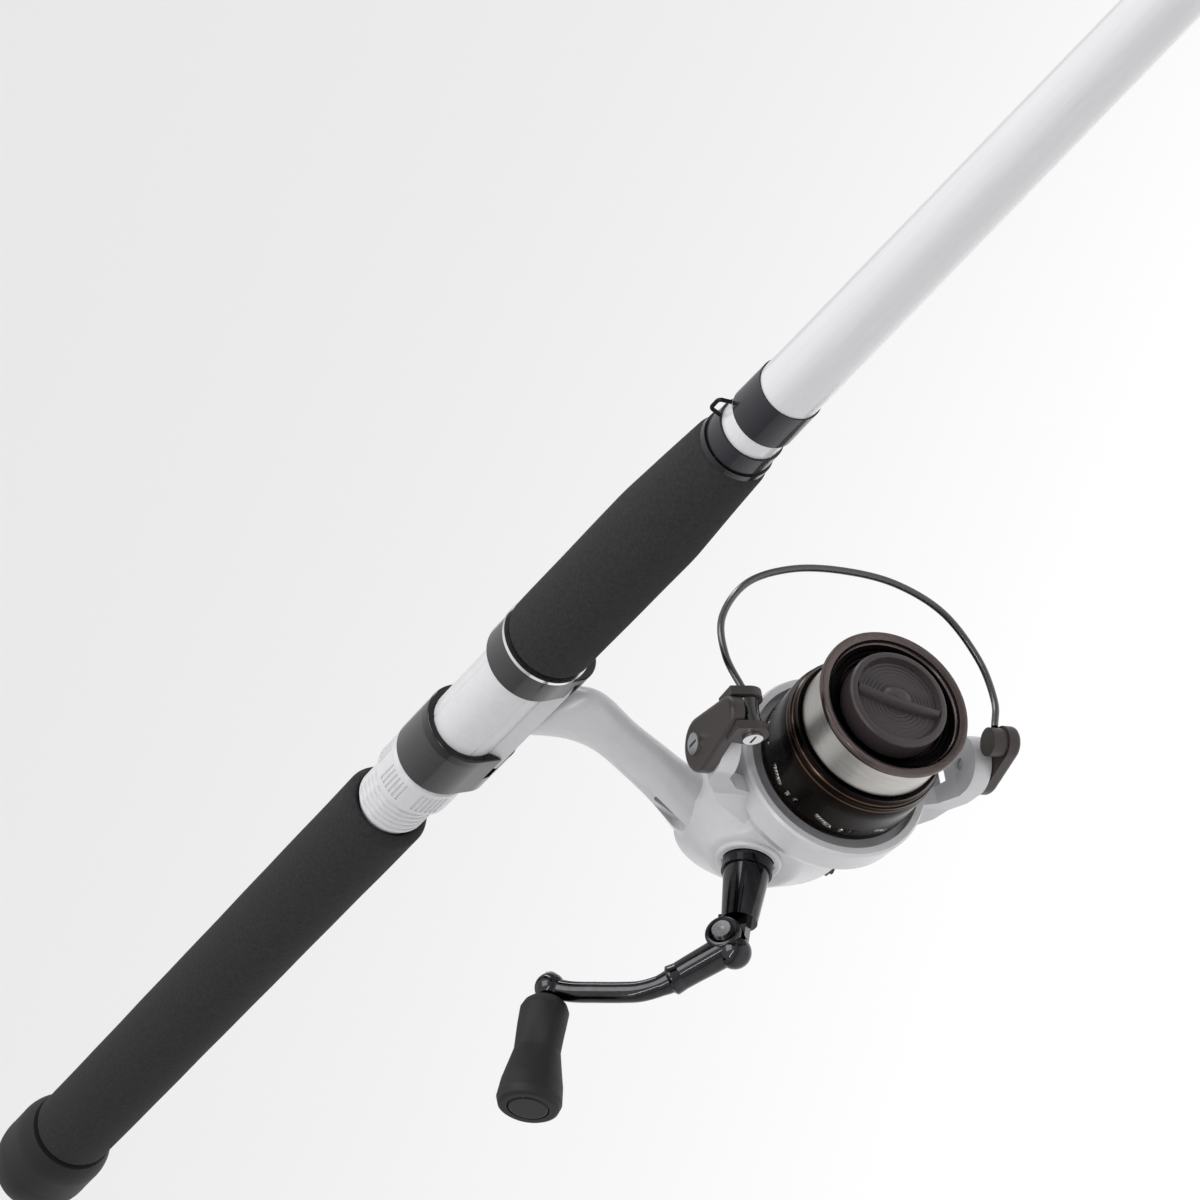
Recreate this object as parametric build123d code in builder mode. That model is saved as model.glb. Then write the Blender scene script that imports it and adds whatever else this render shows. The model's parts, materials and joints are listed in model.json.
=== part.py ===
from build123d import *
import os
from math import cos, radians, sin

# A telescopic spinning rod, collapsed, with a spinning reel clamped in its seat. Millimetres.
# The rod lies along X from butt to tip, the reel hangs below it (-Z) and the crank is on the
# right (-Y). The origin is on the rod's axis, at the middle of the butt cap's round band.

GLUE = 0.05          # gap left between pieces that are glued or pressed together
RUN = 0.3            # gap left between curved pieces that move past each other

# ---------------------------------------------------------------- rod: driving dimensions
CAP_END, CAP_FRONT, CAP_RADIUS, CAP_BAND = -29.6, 16.0, 16.85, 5.0
GRIP_RADIUS = 14.0
REAR_GRIP = (16.1, 275.2)
SEAT = (275.3, 381.0)
BARREL_RADIUS, THREAD_ROOT, THREAD_TOP, THREAD_PITCH, THREAD_COUNT = 11.15, 10.45, 11.35, 2.6, 12
NUT = (292.2, 306.3)
NUT_RADIUS, NUT_GROUPS, NUT_GROOVES, GROOVE_STEP = 13.0, 6, 6, 7.0   # grooves in groups, degrees apart
SLIDING_HOOD = (307.3, 329.6)
FIXED_HOOD = (369.4, 380.9)
HOOD_RADIUS, HOOD_DROP, HOOD_POCKET = 13.3, 8.2, 9.0
TRIM_RING = (381.1, 382.4)
FOREGRIP = (382.5, 496.1)
FOREGRIP_TAPER, FOREGRIP_TIP_RADIUS = 452.0, 11.5
WINDING_CHECK = (496.2, 498.4)
LOWER_WRAP = (498.5, 505.7)
UPPER_WRAP = (512.7, 527.4)
BLANK_RADIUS, BLANK_STRAIGHT, BLANK_WALL = 9.35, 527.0, 1.2
BLANK_START = -6.0
KEEPER_WIRE, KEEPER_RISE = 0.6, 3.6
MOUTH = 775.0                        # front end of the butt section
MOUTH_RADIUS = 8.03

# Each drawn section: rear end, front end, rear radius, front radius, wall (0 for a solid tip).
SECTIONS = {
    "middle_section": (175.0, 792.0, 6.45, 5.45, 0.8),
    "upper_section": (192.0, 807.0, 4.25, 3.45, 0.7),
    "tip_section": (210.0, 822.0, 2.35, 0.9, 0.0),
}
# Each line guide: collar rear, collar front, collar bore radius, ring bore radius, ring drop.
GUIDES = {
    "butt_guide": (757.0, MOUTH, MOUTH_RADIUS + 0.15, 9.0, 22.0),
    "middle_guide": (776.5, 792.0, 5.5, 6.5, 17.5),
    "upper_guide": (793.5, 807.0, 3.5, 4.5, 12.5),
    "tip_guide": (808.5, 822.0, 1.0, 3.0, 6.5),
}

# ---------------------------------------------------------------- reel: driving dimensions
REEL_ORIGIN, REEL_TILT = (340.5, 0, -100.7), radians(3.4)
HANDLE_X, HANDLE_Z = 4.0, 9.0        # the crank's axis, across the reel
CASE_X, CASE_Z, CASE_RADIUS, CASE_HALF, CASE_WALL = -1.0, 5.0, 25.8, 16.0, 2.4
CHEEK_X, CHEEK_Z, CHEEK_RADIUS, CHEEK_START, CHEEK_END = 3.2, 7.0, 13.6, 5.5, 17.2   # right cheek
COVER_THICK = 5.0
NECK_RADIUS, NECK_REAR, NECK_FRONT, CASE_FRONT = 17.0, 14.0, 41.0, 20.8
FOOT_START, FOOT_END, FOOT_HALF_WIDTH, FOOT_BOTTOM = 318.0, 376.0, 7.0, -14.2
# The stem's level sections: height, middle, half depth, half width.
STEM = (
    (86.2, 12.8, 9.6, 6.4), (80.0, 17.6, 11.6, 6.2), (72.5, 19.6, 11.4, 6.0), (64.0, 16.8, 9.8, 5.6),
    (51.0, 9.8, 9.7, 5.6), (42.0, 5.0, 9.9, 6.4), (33.0, -0.4, 10.4, 8.0), (22.0, -5.5, 12.0, 10.0),
    (8.0, -8.0, 14.0, 12.0),
)
SHAFT_RADIUS, SHAFT_REAR, SHAFT_FRONT = 2.3, -18.6, 80.0
PINION_TEETH, GEAR_TEETH, PINION_TOP, PINION_ROOT, PINION_TUBE = 9, 47, 4.3, 3.45, 3.3
GEAR_RADIUS, GEAR_INNER, GEAR_FACE, GEAR_THICK = 14.2, 10.2, -4.6, 3.2
ROTOR_REAR, ROTOR_RIM, ROTOR_RADIUS, ROTOR_DRUM, ROTOR_FACE = 21.5, 41.0, 30.2, 21.3, 47.5
BAIL_X, BAIL_ANGLE, ARM_RADIUS, ARM_INNER, ARM_HALF = 47.0, radians(-18), 45.0, 39.5, 9.0
BAIL_OUTER = 49.6                    # outer face of the two bail levers
ROLLER_AHEAD, ROLLER_DEPTH, ROLLER_RADIUS, ROLLER_HALF = 19.0, 41.5, 3.8, 4.0
WIRE_RADIUS = 1.2
SPOOL_REAR, SPOOL_LIP, LIP_RADIUS, SKIRT_RADIUS, ARBOR_RADIUS = 41.2, 80.0, 24.0, 25.4, 17.8
LINE_REAR, LINE_FRONT, LINE_RADIUS = 63.2, 76.4, 21.9
KNOB_RADIUS, KNOB_REAR, KNOB_FRONT = 15.8, 75.2, 84.0
SLEEVE = (18.9, 39.8)                # handle sleeve, out from the reel's middle plane
SLEEVE_RADII = (7.8, 5.5)
PIN_OUT, PIN_OFFSET = 46.0, 3.0      # folding pin: distance out, and offset along the arm
ARM_DIRECTION = (-0.675, 0.738)      # the crank arm at rest, in the reel's forward and up axes
CRANK = ((14.7, 12.9), (23.8, 17.0), (47.0, 15.6), (54.5, 13.5))   # along the arm, outwards
EYE_RADIUS, EYE_HALF, TONGUE_HALF = 5.6, 5.4, 2.2
GRIP_TOP, GRIP_END = 5.2, 43.0       # handle knob, out from the ball at the arm's end

REEL = Plane(
    origin=REEL_ORIGIN,
    x_dir=(cos(REEL_TILT), 0, sin(REEL_TILT)),
    z_dir=(-sin(REEL_TILT), 0, cos(REEL_TILT)),
)                                    # x forward, y left, z towards the rod
SIDE = Plane(REEL.origin, x_dir=REEL.x_dir, z_dir=-REEL.y_dir)    # forward, up; faces right
FRONT = Plane(REEL.origin, x_dir=REEL.y_dir, z_dir=REEL.x_dir)    # left, up; faces forward
SPOOL_AXIS = Axis(REEL.origin, REEL.x_dir)


def at(forward, left, up):
    """A point given in the reel's own frame."""
    return REEL.from_local_coords((forward, left, up))


def ring(plane, outer, inner, start, end):
    """A plain tube with its axis on a plane's normal."""
    with BuildPart() as piece:
        with BuildSketch(plane.offset(start)):
            Circle(outer)
            Circle(inner, mode=Mode.SUBTRACT)
        extrude(amount=end - start)
    return piece


def turned(points, soften=0.0, plane=Plane.XZ, axis=Axis.X):
    """A solid turned about an axis from its half outline of (along, radius) points.

    A softened outline is a tube's, because all of its corners are rounded.
    """
    with BuildPart() as piece:
        with BuildSketch(plane) as outline:
            with BuildLine():
                Polyline(*points, close=True)
            make_face()
            if soften:
                fillet(outline.vertices(), soften)
        revolve(axis=axis)
    return piece


def reel_turned(points, soften=0.0):
    """A solid turned about the spool's axis."""
    return turned(points, soften, SIDE, SPOOL_AXIS)


pieces = {}

# ================================================================ rod: grips, seat and trim
with BuildPart() as butt_cap:
    with BuildSketch(Plane.XZ):
        with BuildLine():
            Line((CAP_END, 0), (CAP_END, 8))
            ThreePointArc((CAP_END, 8), (-21.5, 13.6), (-CAP_BAND, CAP_RADIUS))
            Line((-CAP_BAND, CAP_RADIUS), (CAP_BAND, CAP_RADIUS))
            ThreePointArc((CAP_BAND, CAP_RADIUS), (11.5, 16.2), (CAP_FRONT, GRIP_RADIUS + 0.4))
            Line((CAP_FRONT, GRIP_RADIUS + 0.4), (CAP_FRONT, 0))
            Line((CAP_FRONT, 0), (CAP_END, 0))
        make_face()
    revolve(axis=Axis.X)
    with BuildSketch(Plane.YZ.offset(BLANK_START - GLUE)):
        Circle(BLANK_RADIUS + GLUE)
    extrude(amount=CAP_FRONT - BLANK_START + 1, mode=Mode.SUBTRACT)
pieces["butt_cap"] = butt_cap

TUBE_BORE = BLANK_RADIUS + GLUE
pieces["rear_grip"] = turned(
    [(REAR_GRIP[0], TUBE_BORE), (REAR_GRIP[0], GRIP_RADIUS), (REAR_GRIP[1], GRIP_RADIUS), (REAR_GRIP[1], TUBE_BORE)],
    soften=1.2,
)
pieces["foregrip"] = turned(
    [
        (FOREGRIP[0], TUBE_BORE), (FOREGRIP[0], GRIP_RADIUS - 0.2), (FOREGRIP_TAPER, GRIP_RADIUS - 0.2),
        (FOREGRIP[1], FOREGRIP_TIP_RADIUS), (FOREGRIP[1], TUBE_BORE),
    ],
    soften=0.8,
)

# The seat's barrel: round ridges of the thread at the rear, a plain tube under both hoods.
thread_outline = [(SEAT[0], TUBE_BORE), (SEAT[0], THREAD_ROOT)]
for turn in range(THREAD_COUNT):
    ridge = SEAT[0] + 0.4 + turn * THREAD_PITCH
    thread_outline += [
        (ridge, THREAD_ROOT), (ridge + 0.5, THREAD_TOP),
        (ridge + THREAD_PITCH - 1.1, THREAD_TOP), (ridge + THREAD_PITCH - 0.6, THREAD_ROOT),
    ]
barrel_start = SLIDING_HOOD[0] - 0.2
thread_outline += [
    (barrel_start, THREAD_ROOT), (barrel_start, BARREL_RADIUS), (SEAT[1], BARREL_RADIUS), (SEAT[1], TUBE_BORE)
]
pieces["seat_barrel"] = turned(thread_outline)

with BuildPart() as hood_nut:
    with BuildSketch(Plane.YZ.offset(NUT[0])):
        Circle(NUT_RADIUS)
        Circle(THREAD_TOP + RUN / 2, mode=Mode.SUBTRACT)
    extrude(amount=NUT[1] - NUT[0])
    chamfer(hood_nut.faces().filter_by(Axis.X).edges().group_by(SortBy.LENGTH)[-1], 0.8)
    with BuildSketch(Plane.YZ.offset(NUT[0] + 2.6)):
        for group in range(NUT_GROUPS):
            with PolarLocations(
                NUT_RADIUS + 0.1, NUT_GROOVES, group * 360 / NUT_GROUPS, (NUT_GROOVES - 1) * GROOVE_STEP, endpoint=True
            ):
                Circle(0.5)
    extrude(amount=NUT[1] - NUT[0] - 5.2, mode=Mode.SUBTRACT)
pieces["hood_nut"] = hood_nut


def hood(rear, front, radius, pocket_from, pocket_to):
    """A hood round the barrel that swells on the reel's side, with a pocket for the foot's end."""
    with BuildPart() as piece:
        with BuildSketch(Plane.YZ.offset(rear)):
            Circle(radius)
            with Locations((0, -HOOD_DROP)):
                Circle(HOOD_POCKET)
            make_hull()
        extrude(amount=front - rear)
        fillet(piece.faces().filter_by(Axis.X).edges(), 0.7)
        with BuildSketch(Plane.YZ.offset(rear - 1)):
            Circle(BARREL_RADIUS + RUN)
        extrude(amount=front - rear + 2, mode=Mode.SUBTRACT)
        with BuildSketch(Plane.YZ.offset(pocket_from)):
            with Locations((0, FOOT_BOTTOM + 2.6)):
                Rectangle(2 * FOOT_HALF_WIDTH + 1.2, 6.4)
        extrude(amount=pocket_to - pocket_from, mode=Mode.SUBTRACT)
    return piece


pieces["sliding_hood"] = hood(*SLIDING_HOOD, HOOD_RADIUS, FOOT_START - 1.5, SLIDING_HOOD[1] + 1)
pieces["fixed_hood"] = hood(*FIXED_HOOD, HOOD_RADIUS + 0.4, FIXED_HOOD[0] - 1, FOOT_END + 1.5)
pieces["trim_ring"] = ring(Plane.YZ, GRIP_RADIUS + 0.1, TUBE_BORE, *TRIM_RING)
pieces["winding_check"] = ring(Plane.YZ, 10.9, TUBE_BORE, *WINDING_CHECK)
pieces["lower_wrap"] = turned(
    [(LOWER_WRAP[0], TUBE_BORE), (LOWER_WRAP[0], 10.3), (LOWER_WRAP[1], 10.1), (LOWER_WRAP[1], TUBE_BORE)],
)
pieces["upper_wrap"] = turned(
    [(UPPER_WRAP[0], TUBE_BORE), (UPPER_WRAP[0], 9.95), (UPPER_WRAP[1], 9.75), (UPPER_WRAP[1], TUBE_BORE)],
)

with BuildPart() as hook_keeper:
    keeper_low = BLANK_RADIUS + KEEPER_WIRE + GLUE
    keeper_path_points = [
        (LOWER_WRAP[1] + 0.1, 0, keeper_low), (LOWER_WRAP[1] + 1.2, 0, keeper_low + KEEPER_RISE),
        (UPPER_WRAP[0] - 1.2, 0, keeper_low + KEEPER_RISE), (UPPER_WRAP[0] - 0.1, 0, keeper_low),
    ]
    with BuildLine() as keeper_path:
        FilletPolyline(*keeper_path_points, radius=1.4)
    with BuildSketch(Plane(keeper_path_points[0], z_dir=keeper_path.line % 0)):
        Circle(KEEPER_WIRE)
    sweep(path=keeper_path.line)
pieces["hook_keeper"] = hook_keeper

pieces["butt_section"] = turned(
    [
        (BLANK_START, BLANK_RADIUS - BLANK_WALL), (BLANK_START, BLANK_RADIUS), (BLANK_STRAIGHT, BLANK_RADIUS),
        (MOUTH, MOUTH_RADIUS), (MOUTH, MOUTH_RADIUS - BLANK_WALL), (BLANK_STRAIGHT, BLANK_RADIUS - BLANK_WALL),
    ]
)

# ================================================================ rod: the drawn sections and guides
for name, (rear, front, rear_radius, front_radius, wall) in SECTIONS.items():
    bore = (rear_radius - wall, front_radius - wall) if wall else (0, 0)
    pieces[name] = turned([(rear, bore[0]), (rear, rear_radius), (front, front_radius), (front, bore[1])])

for name, (rear, front, bore, eye, drop) in GUIDES.items():
    collar = bore + (1.0 if bore > 2 else 0.8)
    with BuildPart() as frame:
        with BuildSketch(Plane.YZ.offset(rear)):
            Circle(collar)
        extrude(amount=front - rear)
        # A flat bridge hangs from the collar and carries the ring's seat.
        with BuildSketch(Plane.YZ.offset(front - 3.2)):
            with Locations((0, -drop)):
                Circle(eye + 2.0)
            with Locations((0, -(drop - eye + collar) / 2)):
                Rectangle(min(eye + collar, 9.0), drop - eye)
            with Locations((0, -drop)):
                Circle(eye + 1.0, mode=Mode.SUBTRACT)
        extrude(amount=2.2)
        with BuildSketch(Plane.YZ.offset(rear)):
            Circle(bore)
        extrude(amount=front - rear, mode=Mode.SUBTRACT)
    pieces[name] = frame
    eye_plane = Plane.YZ.offset(front - 2.1)
    pieces[name + "_ring"] = turned(
        [(-1.5, eye), (-1.5, eye + 0.95), (1.5, eye + 0.95), (1.5, eye)],
        soften=0.4,
        plane=Plane((front - 2.1, 0, -drop), x_dir=(1, 0, 0), z_dir=(0, -1, 0)),
        axis=Axis((front - 2.1, 0, -drop), (1, 0, 0)),
    )

# ================================================================ reel: the frame and its cover
# The gear room's steps: centre, radius and how far each reaches to the right.
GEAR_ROOM = (
    (CASE_X, CASE_Z, CASE_RADIUS - CASE_WALL, CHEEK_START), (0.2, 5.7, 19.8, 9.0),
    (HANDLE_X - 0.5, HANDLE_Z - 1, 11.0, CASE_HALF - CASE_WALL - 0.4),
)
with BuildPart() as reel_frame:
    with BuildSketch(SIDE.offset(COVER_THICK + GLUE - CASE_HALF)):
        with Locations((CASE_X, CASE_Z)):
            Circle(CASE_RADIUS)
    extrude(amount=CASE_HALF - COVER_THICK - GLUE + CHEEK_START)
    # The right cheek narrows in a cone towards the crank's bearing.
    with BuildSketch(SIDE.offset(CHEEK_START)):
        with Locations((CASE_X, CASE_Z)):
            Circle(CASE_RADIUS)
    with BuildSketch(SIDE.offset(CHEEK_END)):
        with Locations((CHEEK_X, CHEEK_Z)):
            Circle(CHEEK_RADIUS)
    loft()
    fillet(reel_frame.edges().group_by(Axis.Y)[0], 4.5)
    with BuildSketch(SIDE.offset(CHEEK_END - 2)):
        with Locations((HANDLE_X, HANDLE_Z)):
            Circle(10.2)
    extrude(amount=3.4)
    fillet(reel_frame.edges().group_by(Axis.Y)[0], 1.0)
    with BuildSketch(FRONT.offset(NECK_REAR)):
        Circle(NECK_RADIUS)
    extrude(amount=NECK_FRONT - NECK_REAR)
    for height, middle, half_depth, half_width in STEM:
        with BuildSketch(REEL.offset(height)):
            with Locations((middle, 0)):
                Ellipse(half_depth, half_width)
    loft()
    # The stem is relieved round both hoods, and the case stops short of the rotor.
    for start, length, radius in (
        (SLIDING_HOOD[0], SLIDING_HOOD[1] + RUN - SLIDING_HOOD[0], HOOD_RADIUS),
        (FIXED_HOOD[0] - RUN, FIXED_HOOD[1] - FIXED_HOOD[0] + RUN, HOOD_RADIUS + 0.4),
    ):
        with BuildSketch(Plane.YZ.offset(start)):
            Circle(radius + 2 * RUN)
            with Locations((0, -HOOD_DROP)):
                Circle(HOOD_POCKET + 2 * RUN)
            make_hull()
        extrude(amount=length, mode=Mode.SUBTRACT)
    with BuildSketch(FRONT.offset(CASE_FRONT)):
        Circle(34)
        Circle(NECK_RADIUS, mode=Mode.SUBTRACT)
    extrude(amount=10, mode=Mode.SUBTRACT)
    # The foot: a saddle plate that lies along the barrel and ends under both hoods.
    with BuildSketch(Plane.XY.offset(FOOT_BOTTOM)):
        with Locations(((FOOT_START + FOOT_END) / 2, 0)):
            SlotOverall(FOOT_END - FOOT_START, 2 * FOOT_HALF_WIDTH)
    extrude(amount=5.5)
    with BuildSketch(Plane.YZ.offset(FOOT_START - 5)):
        Circle(BARREL_RADIUS + GLUE)
    extrude(amount=FOOT_END - FOOT_START + 10, mode=Mode.SUBTRACT)
    # Grooves down both faces of the stem, and the narrow slot at their lower end.
    for side in (1, -1):
        with BuildSketch(SIDE.offset(side * 4.6)):
            with Locations(Location((0.6, 43.5), 68)):
                SlotOverall(34, 5.6)
        extrude(amount=side * 6, mode=Mode.SUBTRACT)
    with BuildSketch(SIDE.offset(-CASE_HALF)):
        with Locations(Location((-2.2, 35.0), 66)):
            SlotOverall(11, 3.4)
    extrude(amount=2 * CASE_HALF, mode=Mode.SUBTRACT)
    # The cover's seat on the left, the stepped gear room, and the bearing rooms.
    with BuildSketch(SIDE.offset(-CASE_HALF - 10)):
        with Locations((CASE_X, CASE_Z)):
            Circle(CASE_RADIUS + GLUE)
    extrude(amount=10 + COVER_THICK + GLUE, mode=Mode.SUBTRACT)
    for x, z, radius, depth in GEAR_ROOM:
        with BuildSketch(SIDE.offset(-CASE_HALF)):
            with Locations((x, z)):
                Circle(radius)
        extrude(amount=CASE_HALF + depth, mode=Mode.SUBTRACT)
    with BuildSketch(FRONT.offset(8)):
        Circle(12)
    extrude(amount=NECK_FRONT, mode=Mode.SUBTRACT)
    with BuildSketch(SIDE):
        with Locations((HANDLE_X, HANDLE_Z)):
            Circle(8.05)
    extrude(amount=CASE_HALF + 6, mode=Mode.SUBTRACT)
pieces["reel_frame"] = reel_frame

COVER_SCREWS = [(CASE_X + 18 * cos(radians(turn)), CASE_Z + 18 * sin(radians(turn))) for turn in (100, 190, 285)]
with BuildPart() as side_cover:
    with BuildSketch(SIDE.offset(-CASE_HALF)):
        with Locations((CASE_X, CASE_Z)):
            Circle(CASE_RADIUS)
    extrude(amount=COVER_THICK)
    fillet(side_cover.edges().group_by(Axis.Y)[-1], 4.4)
    with BuildSketch(SIDE.offset(CASE_WALL - CASE_HALF)):
        with Locations((CASE_X, CASE_Z)):
            Circle(CASE_RADIUS - CASE_WALL - 1.6)
    extrude(amount=COVER_THICK, mode=Mode.SUBTRACT)
    with BuildSketch(SIDE.offset(-CASE_HALF - 1)):
        with Locations((HANDLE_X, HANDLE_Z)):
            Circle(6.5)
        with Locations(*COVER_SCREWS):
            Circle(1.3)
    extrude(amount=CASE_WALL + 2, mode=Mode.SUBTRACT)
    with BuildSketch(FRONT.offset(CASE_FRONT)):
        Circle(34)
    extrude(amount=10, mode=Mode.SUBTRACT)
pieces["side_cover"] = side_cover

with BuildPart() as cover_screws:
    with BuildSketch(SIDE.offset(-CASE_HALF - GLUE)):
        with Locations(*COVER_SCREWS):
            Circle(1.2)
    extrude(amount=CASE_WALL + GLUE)
    with BuildSketch(SIDE.offset(-CASE_HALF - GLUE - 0.9)):
        with Locations(*COVER_SCREWS):
            Circle(2.3)
            SlotOverall(3.2, 0.7, mode=Mode.SUBTRACT)
    extrude(amount=0.9)
pieces["cover_screws"] = cover_screws

HANDLE_SIDE = Plane(at(HANDLE_X, 0, HANDLE_Z), x_dir=REEL.x_dir, z_dir=-REEL.y_dir)
pieces["handle_bearings"] = ring(HANDLE_SIDE, 8.0, 3.6, CASE_HALF - CASE_WALL, CASE_HALF + 2)
with BuildPart() as left_bearing:
    with BuildSketch(HANDLE_SIDE.offset(-CASE_HALF)):
        Circle(6.4)
        Circle(3.6, mode=Mode.SUBTRACT)
    extrude(amount=CASE_WALL)
    add(pieces["handle_bearings"].part)
pieces["handle_bearings"] = left_bearing
with BuildPart() as bearing_cap:
    with BuildSketch(HANDLE_SIDE.offset(-CASE_HALF - 3.2)):
        Circle(8.2)
    extrude(amount=3.1)
    fillet(bearing_cap.edges().group_by(Axis.Y)[-1], 1.4)
    with BuildSketch(HANDLE_SIDE.offset(-CASE_HALF - 4)):
        SlotOverall(9.5, 1.6)
    extrude(amount=1.8, mode=Mode.SUBTRACT)
pieces["bearing_cap"] = bearing_cap

# ================================================================ reel: the gear train
pieces["pinion_bearing"] = ring(FRONT, 11.9, PINION_TUBE + 0.1, 22.5, 27.5)
pieces["one_way_clutch"] = ring(FRONT, 11.9, 6.1, 28.0, 39.5)
with BuildPart() as pinion_gear:
    with BuildSketch(FRONT.offset(9)):
        Circle(PINION_ROOT)
        with PolarLocations(PINION_ROOT, PINION_TEETH):
            Rectangle(2 * (PINION_TOP - PINION_ROOT), 1.1)
    extrude(amount=12.5)
    with BuildSketch(FRONT.offset(21.5)):
        Circle(PINION_TUBE)
    extrude(amount=ROTOR_FACE + 3.4 - 21.5)
    with BuildSketch(FRONT.offset(28.2)):
        Circle(6.0)
    extrude(amount=11)
    with BuildSketch(FRONT.offset(8)):
        Circle(SHAFT_RADIUS + 0.1)
    extrude(amount=50, mode=Mode.SUBTRACT)
pieces["pinion_gear"] = pinion_gear

with BuildPart() as drive_gear:
    with BuildSketch(HANDLE_SIDE.offset(-GEAR_FACE + 0.2)):
        Circle(GEAR_RADIUS)
        Circle(5, mode=Mode.SUBTRACT)
    extrude(amount=GEAR_THICK)
    with BuildSketch(HANDLE_SIDE.offset(-GEAR_FACE - 0.2)):
        with PolarLocations((GEAR_RADIUS + GEAR_INNER) / 2, GEAR_TEETH):
            Rectangle(GEAR_RADIUS - GEAR_INNER, 0.9)
    extrude(amount=0.5)
    with BuildSketch(HANDLE_SIDE.offset(CASE_WALL - CASE_HALF - 2.4)):
        Circle(3.5)
    extrude(amount=SLEEVE[0] - GLUE - CASE_WALL + CASE_HALF + 2.4)
    with BuildSketch(HANDLE_SIDE.offset(-GEAR_FACE + 0.2)):
        Circle(5.2)
    extrude(amount=6)
pieces["drive_gear"] = drive_gear

# The oscillating gear and its slider: the crank pin stops just short of the slider's slot.
SWING_X, SWING_Z, SWING_RADIUS = -8.0, -6.5, 7.6
SWING_SIDE = Plane(at(SWING_X, 0, SWING_Z), x_dir=REEL.x_dir, z_dir=-REEL.y_dir)
with BuildPart() as oscillating_gear:
    with BuildSketch(SWING_SIDE.offset(-9.8)):
        Circle(SWING_RADIUS - 0.8)
        with PolarLocations(SWING_RADIUS - 0.8, 20):
            Rectangle(1.4, 1.0)
    extrude(amount=2.6)
    with BuildSketch(SWING_SIDE.offset(-CASE_HALF + CASE_WALL + 0.2)):
        Circle(2.4)
    extrude(amount=4)
    with BuildSketch(SWING_SIDE.offset(-7.3)):
        with Locations((0, 5)):
            Circle(1.4)
    extrude(amount=1.6)
pieces["oscillating_gear"] = oscillating_gear
with BuildPart() as oscillating_slider:
    with BuildSketch(SIDE.offset(-5.4)):
        with Locations((SWING_X, -4.0)):
            RectangleRounded(9, 18, 2.5)
            SlotOverall(14, 3.4, rotation=90, mode=Mode.SUBTRACT)
    extrude(amount=2.4)
    with BuildSketch(FRONT.offset(SWING_X - 5)):
        Circle(4.2)
    extrude(amount=10)
    with BuildSketch(FRONT.offset(SWING_X - 6)):
        Circle(SHAFT_RADIUS + GLUE)
    extrude(amount=12, mode=Mode.SUBTRACT)
pieces["oscillating_slider"] = oscillating_slider
pieces["main_shaft"] = reel_turned(
    [(SHAFT_REAR, 0), (SHAFT_REAR, SHAFT_RADIUS), (SHAFT_FRONT, SHAFT_RADIUS), (SHAFT_FRONT, 0)]
)

with BuildPart() as anti_reverse_lever:
    with BuildSketch(Plane(at(-5, 0, CASE_Z - CASE_RADIUS - 2.1), x_dir=REEL.x_dir, z_dir=REEL.z_dir)):
        SlotOverall(15, 5)
    extrude(amount=1.7)
    with BuildSketch(Plane(at(-9.5, 0, CASE_Z - CASE_RADIUS - 3.4), x_dir=REEL.x_dir, z_dir=REEL.z_dir)):
        Circle(1.8)
    extrude(amount=2.2)
    with BuildSketch(Plane(at(0, 0, CASE_Z - CASE_RADIUS - 2.1), x_dir=REEL.x_dir, z_dir=REEL.z_dir)):
        Circle(1.5)
    extrude(amount=1.7)
pieces["anti_reverse_lever"] = anti_reverse_lever

# ================================================================ reel: the rotor and the bail
ACROSS = REEL.y_dir * -sin(BAIL_ANGLE) - REEL.z_dir * cos(BAIL_ANGLE)     # along the bail's pivots
TOWARD = ACROSS.cross(REEL.x_dir)                                          # the open bail's side


def bail_point(ahead, toward, across):
    """A point given from the bail's pivot axis: forward, to the open side, and along the axis."""
    return at(BAIL_X + ahead, 0, 0) + TOWARD * toward + ACROSS * across


def rotor_arm(side):
    """One rotor arm: it flares out of the bowl and ends round at the bail's pivot."""
    outline = Plane(at(0, 0, 0), x_dir=REEL.x_dir, z_dir=REEL.x_dir.cross(ACROSS * side))
    outward = Plane(at(0, 0, 0), x_dir=REEL.x_dir, z_dir=ACROSS * side)
    with BuildPart() as arm:
        with BuildSketch(outline.offset(-14)) as flank:
            with BuildLine():
                Polyline(
                    (23.5, 24.5), (31, 36.5), (40, 43.6), (BAIL_X, ARM_RADIUS), (BAIL_X + 12, ARM_RADIUS),
                    (BAIL_X + 12, ARM_INNER), (44, ARM_INNER - 0.8), (38.5, 34), (36.5, 28.5), (30, 24.5), close=True,
                )
            make_face()
            fillet(flank.vertices().filter_by_position(Axis.X, REEL_ORIGIN[0] + 25, REEL_ORIGIN[0] + 47), 2.5)
        extrude(amount=28)
        with BuildSketch(outward.offset(15)):
            with Locations((BAIL_X, 0)):
                Circle(ARM_HALF)
            with BuildLine():
                Polyline(
                    (BAIL_X, -ARM_HALF), (BAIL_X, ARM_HALF), (BAIL_X - 12, ARM_HALF), (22, 13), (22, -13),
                    (BAIL_X - 12, -ARM_HALF), close=True,
                )
            make_face()
        extrude(amount=40, mode=Mode.INTERSECT)
        with BuildSketch(outward.offset(26)):
            with BuildLine() as window:
                Polyline((34.4, -4.6), (34.4, 4.6), (41.5, 2.6), (41.5, -2.6), close=True)
            make_face()
        extrude(amount=25, mode=Mode.SUBTRACT)
        with BuildSketch(outward.offset(ARM_INNER - 2)):
            with Locations((BAIL_X, 0)):
                Circle(2.1)
        extrude(amount=10, mode=Mode.SUBTRACT)
    return arm


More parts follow.
